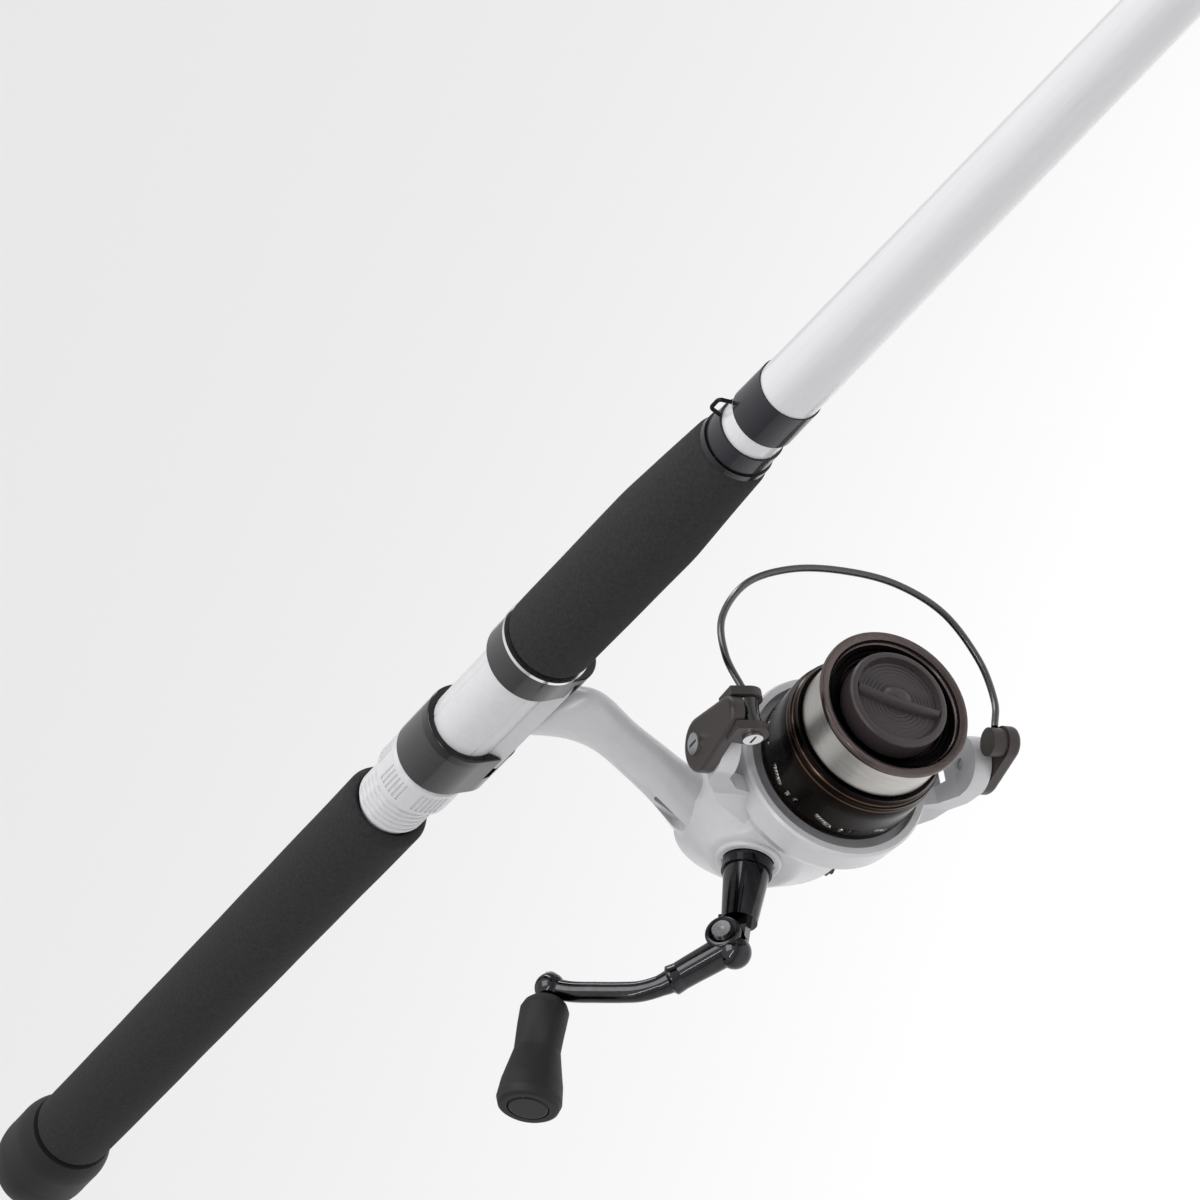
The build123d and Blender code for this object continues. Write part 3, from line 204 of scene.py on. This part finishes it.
# Each finish: its real-world material, then the grain it shows. Sizes and reliefs are in mm.
REEL_X, REEL_Z, REEL_TILT = 340.5, -100.7, radians(3.4)
REEL_AXIS = (cos(REEL_TILT), 0.0, sin(REEL_TILT))
REEL_START = REEL_X * REEL_AXIS[0] + REEL_Z * REEL_AXIS[2]    # the reel's origin along its own axis
FINISHES = {
    # moulded rubber: matt black, with a fine dimpled skin
    "butt_rubber": (dict(name="moulded_nitrile_rubber", base="#131314", Specular_IOR_Level=0.3),
                    dict(size=0.7, bump=0.6, depth=0.08, dark="#0c0c0d", light="#1a1a1b", smooth=0.5, rough=0.7)),
    # closed-cell foam, ground to shape: charcoal, very matt, with torn cells that catch the light
    "grip_foam": (dict(name="ground_EVA_foam", base="#1d1d1e", Specular_IOR_Level=0.18),
                  dict(size=1.1, bump=1.0, depth=0.22, dark="#111112", light="#343435", smooth=0.75, rough=0.95)),
    # moulded nylon: off-white, half gloss, with a faint orange peel
    "seat_white": (dict(name="moulded_white_nylon", base="#bebec0"),
                   dict(size=3.0, bump=0.08, depth=0.02, dark="#b7b7ba", light="#c4c4c6", smooth=0.25, rough=0.36)),
    # plated hood: charcoal gloss that turns black towards its rims
    "hood_black": (dict(name="black_plated_hood", base="#262627", Specular_IOR_Level=0.25, Coat_Weight=0.35,
                        Coat_Roughness=0.06),
                   dict(size=2.0, bump=0.05, depth=0.02, dark="#232324", light="#303031", smooth=0.2, rough=0.24,
                        start=300.0, end=390.0, stripes=((300, "#ffffff"), (325.4, "#3c3c3c"), (370.2, "#ffffff"),
                                                         (380.2, "#3c3c3c")))),
    # turned and polished aluminium: bright, with fine turning lines
    "trim_silver": (dict(name="polished_aluminium_trim", base="#e4e4e6", metallic=1.0),
                    dict(size=0.4, bump=0.05, depth=0.01, dark="#dcdcde", light="#f0f0f1", smooth=0.1, rough=0.2)),
    # nylon thread under clear epoxy: purple-black, glassy, with the thread's ribs across the rod
    "wrap_thread": (dict(name="epoxied_thread_wrap", base="#17161c", Specular_IOR_Level=0.2, Coat_Weight=0.45,
                         Coat_Roughness=0.04),
                    dict(size=0.5, bump=0.35, depth=0.03, dark="#0e0d13", light="#1b1922", smooth=0.25, rough=0.4,
                         stretch=(1, 0.06, 0.06))),
    # blackened spring wire
    "keeper_wire": (dict(name="blackened_spring_wire", base="#202021", metallic=1.0),
                    dict(size=0.4, bump=0.05, depth=0.01, dark="#171718", light="#2e2e30", smooth=0.25, rough=0.4)),
    # lacquered glass-fibre tube: white gloss over a faint long fibre
    "blank_white": (dict(name="white_lacquered_glass_fibre", base="#bfbfc1", Coat_Weight=0.6, Coat_Roughness=0.08),
                    dict(size=1.2, bump=0.06, depth=0.02, dark="#b9b9bb", light="#c6c6c8", smooth=0.25, rough=0.35,
                         stretch=(0.05, 1, 1))),
    # stamped steel frame, electro-blackened
    "guide_frame": (dict(name="blackened_stamped_steel", base="#1f1f21", metallic=1.0),
                    dict(size=0.5, bump=0.1, depth=0.01, dark="#18181a", light="#2c2c2f", smooth=0.25, rough=0.4)),
    # polished alumina: nearly black and glassy
    "guide_ring": (dict(name="polished_alumina_ring", base="#15161a"),
                   dict(size=0.4, bump=0.02, depth=0.01, dark="#101114", light="#202227", smooth=0.08, rough=0.16)),
    # painted graphite-filled nylon: pale grey-white, satin gloss
    "reel_white": (dict(name="painted_graphite_nylon", base="#b8b8ba", Coat_Weight=0.35, Coat_Roughness=0.2),
                   dict(size=4.0, bump=0.05, depth=0.03, dark="#b2b2b5", light="#bfbfc1", smooth=0.28, rough=0.4)),
    # nickel-plated screws with turned heads
    "screw_steel": (dict(name="nickel_plated_screw", base="#c4c4c6", metallic=1.0),
                    dict(size=0.3, bump=0.1, depth=0.01, dark="#b0b0b2", light="#dadadc", smooth=0.12, rough=0.25)),
    # hardened steel races, polished: bright and cool
    "bearing_steel": (dict(name="polished_bearing_steel", base="#c0c0c2", metallic=1.0),
                      dict(size=0.4, bump=0.05, depth=0.01, dark="#b2b2b4", light="#cdcdcf", smooth=0.12, rough=0.2)),
    # die-cast zinc: dull grey, slightly grainy
    "gear_zinc": (dict(name="die_cast_zinc", base="#9b9b9d", metallic=1.0),
                  dict(size=0.6, bump=0.2, depth=0.02, dark="#8a8a8c", light="#adadaf", smooth=0.3, rough=0.45)),
    # brass, cut on a lathe: warm, with fine tool marks
    "pinion_brass": (dict(name="machined_brass", base="#b9924a", metallic=1.0),
                     dict(size=0.4, bump=0.1, depth=0.01, dark="#a8823d", light="#c9a45c", smooth=0.2, rough=0.35)),
    # ground steel rod: grey, with fine marks round it
    "shaft_steel": (dict(name="ground_steel", base="#a9a9ab", metallic=1.0),
                    dict(size=0.2, bump=0.1, depth=0.01, dark="#99999b", light="#bbbbbd", smooth=0.18, rough=0.3,
                         stretch=(1, 0.1, 0.1))),
    # glass-filled nylon: brown-grey, half matt, faintly speckled
    "lever_grey": (dict(name="glass_filled_nylon", base="#332d2c", Specular_IOR_Level=0.4),
                   dict(size=0.6, bump=0.25, depth=0.03, dark="#292322", light="#38312f", smooth=0.32, rough=0.46)),
    # black nickel over steel wire
    "wire_black": (dict(name="black_nickel_wire", base="#565856", metallic=1.0),
                   dict(size=0.8, bump=0.05, depth=0.01, dark="#4a4c4a", light="#646664", smooth=0.16, rough=0.26)),
    # black chrome over a turned roller: a small dark mirror
    "roller_black": (dict(name="black_chrome_roller", base="#4a4a4b", metallic=1.0),
                     dict(size=0.5, bump=0.05, depth=0.01, dark="#3c3c3d", light="#565657", smooth=0.08, rough=0.16)),
    # anodised aluminium: black skirt with bronze pinstripes, brown-grey turned lip
    "spool_dark": (dict(name="anodised_turned_aluminium", base="#5a5150", metallic=1.0),
                   dict(size=0.22, bump=0.18, depth=0.02, dark="#4c4443", light="#6a605e", smooth=0.2, rough=0.32,
                        stretch=(1, 0.12, 0.12), axis=REEL_AXIS, start=REEL_START + 40, end=REEL_START + 82,
                        holes="#b4b2b0",
                        stripes=tuple((REEL_START + place, tint) for place, tint in (
                            (40, "#5a5656"), (42.6, "#c8b49a"), (43.0, "#5a5656"), (58.6, "#e6cba8"), (59.1, "#4c4848"),
                            (60.9, "#e6cba8"), (61.3, "#4c4848"), (76.6, "#242222"), (77.9, "#ffffff"))))),
    # clear nylon line, wound tight: pale, finely ribbed round the spool
    "line_clear": (dict(name="wound_nylon_line", base="#c9cbc8"),
                   dict(size=0.3, bump=0.5, depth=0.05, dark="#bcbeba", light="#d8dad6", smooth=0.2, rough=0.35,
                        stretch=(1, 0.02, 0.02))),
    # brushed foil: silver, with brush marks that run round the spool
    "band_steel": (dict(name="brushed_foil_band", base="#b4b1ad", metallic=1.0),
                   dict(size=0.25, bump=0.6, depth=0.03, dark="#8f8c88", light="#cfccc8", smooth=0.22, rough=0.4,
                        stretch=(1, 0.03, 0.03), axis=REEL_AXIS, start=REEL_START + 63, end=REEL_START + 77,
                        stripes=((REEL_START + 63, "#4a4644"), (REEL_START + 64.0, "#ffffff"),
                                 (REEL_START + 75.8, "#4a4644")))),
    "washer_felt": (dict(name="oiled_felt", base="#8d846f"),
                    dict(size=0.5, bump=0.8, depth=0.1, dark="#7b735f", light="#9f967f", smooth=0.8, rough=0.95)),
    # moulded ABS: brown-grey, half matt, with a fine ripple left by the turned mould, and near-black painted shade in
    # the hollow below the thumb bar
    "knob_dark": (dict(name="moulded_ABS_drag_knob", base="#352d2f", Specular_IOR_Level=0.4),
                  dict(size=0.5, bump=0.15, depth=0.02, dark="#2f2829", light="#3b3335", smooth=0.34, rough=0.46,
                       holes="#0b0909")),
    # black chrome over die-cast zinc: a dark mirror
    "crank_black": (dict(name="black_chrome_zinc", base="#48484a", metallic=1.0),
                    dict(size=3.0, bump=0.04, depth=0.01, dark="#303031", light="#464648", smooth=0.07, rough=0.14)),
    # soft-touch rubber: black, matt, slightly grained
    "knob_soft": (dict(name="soft_touch_TPE", base="#1c1c1c", Specular_IOR_Level=0.3),
                  dict(size=0.7, bump=0.5, depth=0.06, dark="#0c0c0c", light="#1c1c1c", smooth=0.5, rough=0.66)),
    # moulded ABS cap: black and glossy against the matt knob
    "knob_gloss": (dict(name="gloss_ABS_cap", base="#0a0a0b", Specular_IOR_Level=0.2),
                   dict(size=2.0, bump=0.04, depth=0.02, dark="#060607", light="#0e0e0f", smooth=0.08, rough=0.14)),
}
MADE = {slot: grained(material(**plain), **grain) for slot, (plain, grain) in FINISHES.items()}
SLOT_OF = {entry["node"]: entry["material_slot"] for entry in frame["record"]["subparts"]}
BODY_OF = {name: body for body, names in frame["record"]["behaviour"]["bodies"].items() for name in names}


def dress():
    """Gives every carried-over node the finish of its slot."""
    for name, held in frame["nodes"].items():
        held.data.materials.clear()
        held.data.materials.append(MADE[SLOT_OF[name]])


# ------------------------------------------------------------------ surfaces
def along_reel(points):
    """Points given as (forward, left, up) from the reel's origin, in mm, turned into the CAD frame."""
    forward, left, up = np.moveaxis(np.asarray(points, float), -1, 0)
    c, s = REEL_AXIS[0], REEL_AXIS[2]
    return np.stack([REEL_X + forward * c - up * s, left, REEL_Z + forward * s + up * c], -1)


def piece(name, grid, stands_for, loop=False, hole=None):
    """A closed surface from a (rings, around, 3) grid in mm: each ring joins on itself, and the last ring
    joins the first one in a loop, or both end rings close on their own middle points."""
    rings, around = grid.shape[:2]
    index = np.arange(rings * around).reshape(rings, around)
    ahead = np.roll(index, -1, 0) if loop else index[1:]
    here = index if loop else index[:-1]
    faces = np.stack([here, np.roll(here, -1, 1), np.roll(ahead, -1, 1), ahead], -1).reshape(-1, 4).tolist()
    points = grid.reshape(-1, 3)
    if not loop:
        points = np.vstack([points, grid[0].mean(0), grid[-1].mean(0)])
        first, last = rings * around, rings * around + 1
        faces += np.stack([np.full(around, first), np.roll(index[0], -1), index[0]], -1).tolist()
        faces += np.stack([np.full(around, last), index[-1], np.roll(index[-1], -1)], -1).tolist()
    a, b, c = (points[[face[corner] for face in faces]] for corner in (0, 1, 2))
    d = points[[face[-1] for face in faces]]
    volume = (np.cross(a, b) * c).sum() + (np.cross(a, c) * d).sum()
    if volume < 0:
        faces = [face[::-1] for face in faces]
    mesh = bpy.data.meshes.new(name)
    mesh.from_pydata((points * MM).tolist(), [], faces)
    mesh.shade_smooth()
    mesh.set_sharp_from_angle(angle=radians(38))
    mesh.materials.append(MADE[SLOT_OF[stands_for]])
    # a mark per point for the material: 1 in the spool's sunk slots and pits, and in the drag knob's hollow, where it
    # becomes near-black painted shade
    if hole is not None:
        marks = mesh.attributes.new("hole", "FLOAT", "POINT")
        marks.data.foreach_set("value", np.pad(hole.ravel(), (0, len(points) - hole.size)).astype(np.float32))
    made = bpy.data.objects.new(name, mesh)
    bpy.context.collection.objects.link(made)
    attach(made, BODY_OF[stands_for])
    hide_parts(stands_for)
    return made


def fine(profile, step):
    """A profile of (along, radius) corners with points added so that none are further apart than step."""
    profile = np.asarray(profile, float)
    spans = np.maximum(1, np.ceil(np.hypot(*np.diff(profile, axis=0).T) / step)).astype(int)
    places = np.concatenate([k + np.arange(n) / n for k, n in enumerate(spans)] + [[len(spans)]])
    return np.stack([np.interp(places, np.arange(len(profile)), profile[:, k]) for k in (0, 1)], -1)


def rounded(profile, reach):
    """A closed profile whose corners are cut twice (Chaikin), each cut no longer than reach in mm."""
    profile = np.asarray(profile, float)
    for cut in (reach, reach / 2.6):
        out = np.roll(profile, -1, 0) - profile
        length = np.hypot(*out.T)[:, None]
        way = out / length
        share = np.minimum(cut, length / 2.5)
        profile = np.stack([profile + way * share, np.roll(profile, -1, 0) - way * share], 1).reshape(-1, 2)
    return profile


def turned(profile, around=128):
    """A profile of (along, radius) turned about +X: (x, r cos a, r sin a)."""
    angle = np.linspace(0, tau, around, endpoint=False)
    x, r = profile.T
    return np.stack([np.broadcast_to(x[:, None], (len(x), around)), r[:, None] * np.cos(angle),
                     r[:, None] * np.sin(angle)], -1)


def smooth_path(points, count):
    """A Catmull-Rom curve through points, sampled at count places."""
    points = np.asarray(points, float)
    ends = np.vstack([2 * points[0] - points[1], points, 2 * points[-1] - points[-2]])
    place = np.linspace(0, len(points) - 1, count)
    k = np.minimum(place.astype(int), len(points) - 2)
    t = (place - k)[:, None]
    a, b, c, d = (ends[k + shift] for shift in range(4))
    return 0.5 * (2 * b + (c - a) * t + (2 * a - 5 * b + 4 * c - d) * t**2 + (3 * b - a - 3 * c + d) * t**3)


def tube(path, radius, around=20):
    """A round tube along a path: rings stand square to it, in a frame that never twists about +X."""
    way = np.gradient(path, axis=0)
    way /= np.linalg.norm(way, axis=1)[:, None]
    side = np.cross(way, (1.0, 0.0, 0.05))
    side /= np.linalg.norm(side, axis=1)[:, None]
    up = np.cross(way, side)
    angle = np.linspace(0, tau, around, endpoint=False)[None, :, None]
    return path[:, None] + radius * (np.cos(angle) * side[:, None] + np.sin(angle) * up[:, None])


# ------------------------------------------------------------------ rod pieces
def grips():
    """Both foam grips: a turned sleeve whose ends are softly rounded, with a slow unevenness in its skin."""
    for name, corners in (
        ("rear_grip", [(16.1, 9.42), (16.1, 14.0), (275.2, 14.0), (275.2, 9.42)]),
        ("foregrip", [(382.5, 9.42), (382.5, 13.8), (452.0, 13.8), (496.1, 11.5), (496.1, 9.42)]),
    ):
        outline = rounded(corners, 2.2)
        outline = fine(np.vstack([outline, outline[:1]]), 2.0)[:-1]
        grid = turned(outline, 96)
        x, y, z = np.moveaxis(grid, -1, 0)
        angle = np.arctan2(z, y)
        swell = 1 - 0.004 * (1 + np.sin(x * 0.11 + 2 * angle) * np.cos(x * 0.043 - angle))
        grid[..., 1:] *= np.where(np.hypot(y, z) > 10, swell, 1)[..., None]
        piece(name + "_foam", grid, name, loop=True)


def seat():
    """The seat's barrel: r = root + ridge(x / pitch - angle / turn), one true screw thread behind the
    hoods, then a plain tube with fine sunk seams: two along its top strip and one above each foot edge."""
    step = 0.2
    x = np.concatenate([np.arange(275.3, 307.1, step), np.linspace(307.2, 381.0, 60)])
    angle = np.linspace(0, tau, 144, endpoint=False)
    turn = (x[:, None] - 275.3) / 2.6 - angle / tau
    inside = np.abs(turn % 1 - 0.5) * 2                       # 0 at a ridge's middle, 1 in the groove
    thread = 10.45 + 0.9 * np.clip((0.78 - inside) / 0.3, 0, 1)
    fade = np.clip((x - 275.9) / 1.2, 0, 1) * np.clip((306.9 - x) / 1.0, 0, 1)
    plain = np.where(x > 307.1, 11.15, 0)[:, None]
    radius = np.maximum(np.maximum(thread * fade[:, None], 10.45), plain)
    for edge in (radians(77), radians(103), radians(198), radians(342)):
        near = np.exp(-(((angle - edge + np.pi) % tau - np.pi) / 0.03) ** 2)
        radius = radius - 0.28 * near * (plain > 0)
    outer = np.stack([np.broadcast_to(x[:, None], radius.shape), radius * np.cos(angle), radius * np.sin(angle)], -1)
    inner = turned(np.array([(381.0, 9.42), (275.3, 9.42)]), 144)
    piece("seat_screw_barrel", np.concatenate([outer, inner]), "seat_barrel", loop=True)


# ------------------------------------------------------------------ reel pieces
BAIL_TURN = radians(-18)
ACROSS = np.array([0.0, -sin(BAIL_TURN), -cos(BAIL_TURN)])
TOWARD = np.array([0.0, -cos(BAIL_TURN), sin(BAIL_TURN)])


def bail_wire():
    """The bail's wire: a round tube along one smooth curve from the roller's cheek to the holder."""
    route = [(19.0, -7.7, -41.5), (18.4, -20, -45.2), (18.6, -33, -44.0), (19.4, -45.0, -34.0), (20.0, -51.0, -18.0),
             (20.0, -52.0, 0.0), (20.0, -49.0, 17.0), (18.9, -41.0, 32.0), (17.2, -27.0, 42.0), (15.6, -14.0, 45.6),
             (15.0, -5.4, 44.2)]
    local = [np.array([47.0 + ahead, 0, 0]) + TOWARD * toward + ACROSS * across for ahead, toward, across in route]
    piece("bail_wire_bow", tube(smooth_path(along_reel(local), 220), 1.1), "bail_wire")


def spool():
    """The spool: one turned outline, with a row of slanted slots and round pits sunk in its skirt."""
    skirt = [(41.2, 23.7), (41.2, 25.0), (42.4, 25.4)]
    rear = fine([(42.4, 25.4), (54.0, 25.4)], 0.3)[1:]
    front = [(58.2, 25.4), (58.6, 25.15), (59.0, 25.15), (59.4, 24.9), (60.6, 24.9), (61.2, 24.2), (62.6, 23.6),
             (63.15, 23.6), (63.15, 17.8), (76.45, 17.8), (76.45, 22.4), (77.6, 23.2), (78.4, 24.0), (79.4, 24.0),
             (79.9, 23.7), (80.0, 23.3), (79.6, 22.0), (79.4, 21.4), (78.6, 21.1), (78.0, 20.4), (77.9, 19.2),
             (77.4, 18.9), (77.3, 17.8), (76.6, 17.5), (76.5, 16.9), (74.6, 16.6), (74.6, 11.2), (65.5, 11.2),
             (65.5, 2.4), (57.0, 2.4), (57.0, 7.0), (61.0, 8.0), (61.0, 21.6), (57.5, 23.7)]
    outline = np.vstack([skirt, rear, front])
    around = 480
    angle = np.linspace(0, tau, around, endpoint=False)
    x = outline[:, 0][:, None]
    sector = tau / 8
    local = ((angle + sector / 2) % sector - sector / 2) * 25.4              # mm round the skirt
    slant = (x - 46.4) + 0.32 * (local + 4.0)
    slot = np.hypot(np.maximum(np.abs(local + 4.0) - 2.4, 0), slant) / 0.8
    round_one = np.hypot(local - 2.4, x - 45.8) / 0.95
    round_two = np.hypot(local - 5.4, x - 46.6) / 0.75
    depth = np.clip((1.15 - np.minimum(np.minimum(slot, round_one), round_two)) / 0.3, 0, 1)
    depth *= ((outline[:, 1] > 25.3) & (outline[:, 0] < 54))[:, None]
    radius = outline[:, 1][:, None] - 0.9 * depth
    grid = np.stack([np.broadcast_to(x, radius.shape), radius * np.cos(angle), radius * np.sin(angle)], -1)
    piece("spool_shell", along_reel(grid), "spool", loop=True, hole=(depth > 0.9).astype(float))


def drag_knob():
    """The drag knob: a dished disc whose face is height(r, a) = dish + fine rings + a thumb bar that is
    lowest at the rim and swells into a boss, closed by a plain drum behind."""
    around = 256
    angle = np.linspace(0, tau, around, endpoint=False)
    r = np.concatenate([np.linspace(0.05, 13.4, 110), [13.7, 14.0, 14.9, 15.4, 15.7, 15.8]])[:, None]
    dish = 80.75 + np.clip((r - 13.2) / 0.5, 0, 1) * 2.0 - np.clip((r - 14.9) / 0.9, 0, 1) ** 2 * 0.9
    rings = 0.12 * np.cos(r * tau / 1.15) * ((r > 4.4) & (r < 12.8))
    u, v = r * np.cos(angle), r * np.sin(angle)
    bow = v - 1.3 * (1 - (u / 13.4) ** 2)
    blade = np.clip(1.5 - np.abs(bow) / 1.1, 0, 1) ** 0.6 * (2.9 - 0.9 * (u / 13.4) ** 2)
    boss = 2.7 * np.clip(1.4 - np.hypot(u * 0.8, v + 1.0) / 2.9, 0, 1) ** 0.5
    hollow = 3.0 * np.clip(-(bow + 0.6) / 1.2, 0, 1) * np.exp(-((bow + 1.2) / 3.4) ** 2) * np.clip((13.2 - r) / 3, 0, 1)
    raised = np.where(r < 13.3, np.minimum(np.maximum(blade, boss), 3.1), 0)
    face = dish + np.maximum(rings - hollow, raised)
    turn = radians(92)
    left, up = u * cos(turn) - v * sin(turn), u * sin(turn) + v * cos(turn)
    grid = np.stack([face, left, up], -1)
    back = turned(np.array([(81.2, 15.8), (75.2, 15.8), (75.2, 8.5), (78.0, 8.5), (78.0, 3.0), (80.05, 3.0)]), around)
    back = np.stack([back[..., 0], back[..., 1] * cos(turn) - back[..., 2] * sin(turn),
                     back[..., 1] * sin(turn) + back[..., 2] * cos(turn)], -1)
    # painted shade: the deepest part of the hollow below the thumb bar is marked 1, and the knob's material paints it
    # near-black
    shade = np.concatenate([np.clip(hollow, 0, 1) * (raised <= rings), np.zeros(back.shape[:2])])
    piece("drag_knob_face", along_reel(np.concatenate([grid, back])), "drag_knob", hole=shade)


def crank_knob():
    """The crank's knob: r = outline(s) less three shallow scallops that are deepest at the waist."""
    low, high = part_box("handle_knob")
    middle = (low + high) / 2 / MM
    start, end = high.y / MM, low.y / MM                    # from the arm's ball outwards
    s = np.array([0, 0, 1.2, 3.3, 8.8, 17.8, 28.8, 34.3, 36.4, 37.0, 37.0, 34.4, 34.4, 0])
    r = np.array([2.1, 5.4, 6.6, 7.5, 7.5, 7.2, 9.4, 9.9, 9.2, 8.3, 6.4, 6.4, 2.1, 2.1])
    outline = fine(np.stack([s, r], -1), 0.5)
    along, radius = outline[:-1].T
    angle = np.linspace(0, tau, 120, endpoint=False)
    waist = np.exp(-((along - 16) / 9) ** 2) * (radius > 6.5)
    scallop = np.clip(np.cos(1.5 * (angle - 0.6)) ** 2 - 0.35, 0, 1)
    radius = radius[:, None] * (1 - 0.22 * waist[:, None] * scallop)
    grid = np.stack([middle[0] + radius * np.cos(angle),
                     np.broadcast_to((start + np.sign(end - start) * along)[:, None], radius.shape),
                     middle[2] + radius * np.sin(angle)], -1)
    piece("crank_knob_grip", grid, "handle_knob", loop=True)


def crank_arm():
    """The crank's arm: a round bar along one smooth curve, r(s) thick at the fold, with a low ring where it
    thins and a ball at its end; a ball at the fold's corner; and two cheeks turned about the fold's pin."""
    way, across = np.array([-0.675, 0.0, 0.738]), np.array([0.738, 0.0, 0.675])
    out = np.array([0.0, -1.0, 0.0])
    pin = np.array([4.0, -46.0, 9.0]) + 3.0 * way
    route = [(-1.0, 3.0), (4.2, 6.3), (9.5, 9.6), (14.7, 12.9), (19.5, 15.2), (25.0, 16.6), (31.0, 16.6), (39.0, 16.1),
             (47.0, 15.4), (54.5, 13.5), (58.6, 12.3)]
    middle = smooth_path([pin + a * way + o * out for a, o in route], 400)
    along = np.append(0, np.cumsum(np.linalg.norm(np.diff(middle, axis=0), axis=1)))
    thick = np.interp(along, [0, 16.6, 19.0, 19.6, 20.4, 23.5, 60], [4.9, 4.4, 4.7, 4.7, 3.6, 3.2, 3.2])
    ball = along[-1] - 4.7
    bulge = np.sqrt(np.maximum(4.7**2 - (along - ball) ** 2, 0.0004))
    thick = np.where(along > ball, bulge, np.maximum(thick, bulge))
    piece("crank_bar", along_reel(tube(middle, thick[:, None, None], 48)), "crank_arm")
    half = np.linspace(0.02, np.pi - 0.02, 40)
    profiles = {"crank_corner": (np.stack([-5.1 * np.cos(half), 5.1 * np.sin(half)], -1), pin - 3.0 * way + 4.6 * out)}
    cheek = fine(rounded([(2.35, 1.7), (2.35, 5.6), (5.4, 5.6), (5.4, 1.7)], 0.7), 0.6)
    for side, name in ((1, "crank_cheek_front"), (-1, "crank_cheek_rear")):
        profiles[name] = (cheek * (side, 1), pin)
    for name, (profile, centre) in profiles.items():
        x, y, z = np.moveaxis(turned(profile, 64), -1, 0)
        grid = centre + x[..., None] * across + y[..., None] * way + z[..., None] * out
        piece(name, along_reel(grid), "crank_arm", loop=name != "crank_corner")


floor_and_light()
camera()
dress()
grips()
seat()
bail_wire()
spool()
drag_knob()
crank_knob()
crank_arm()
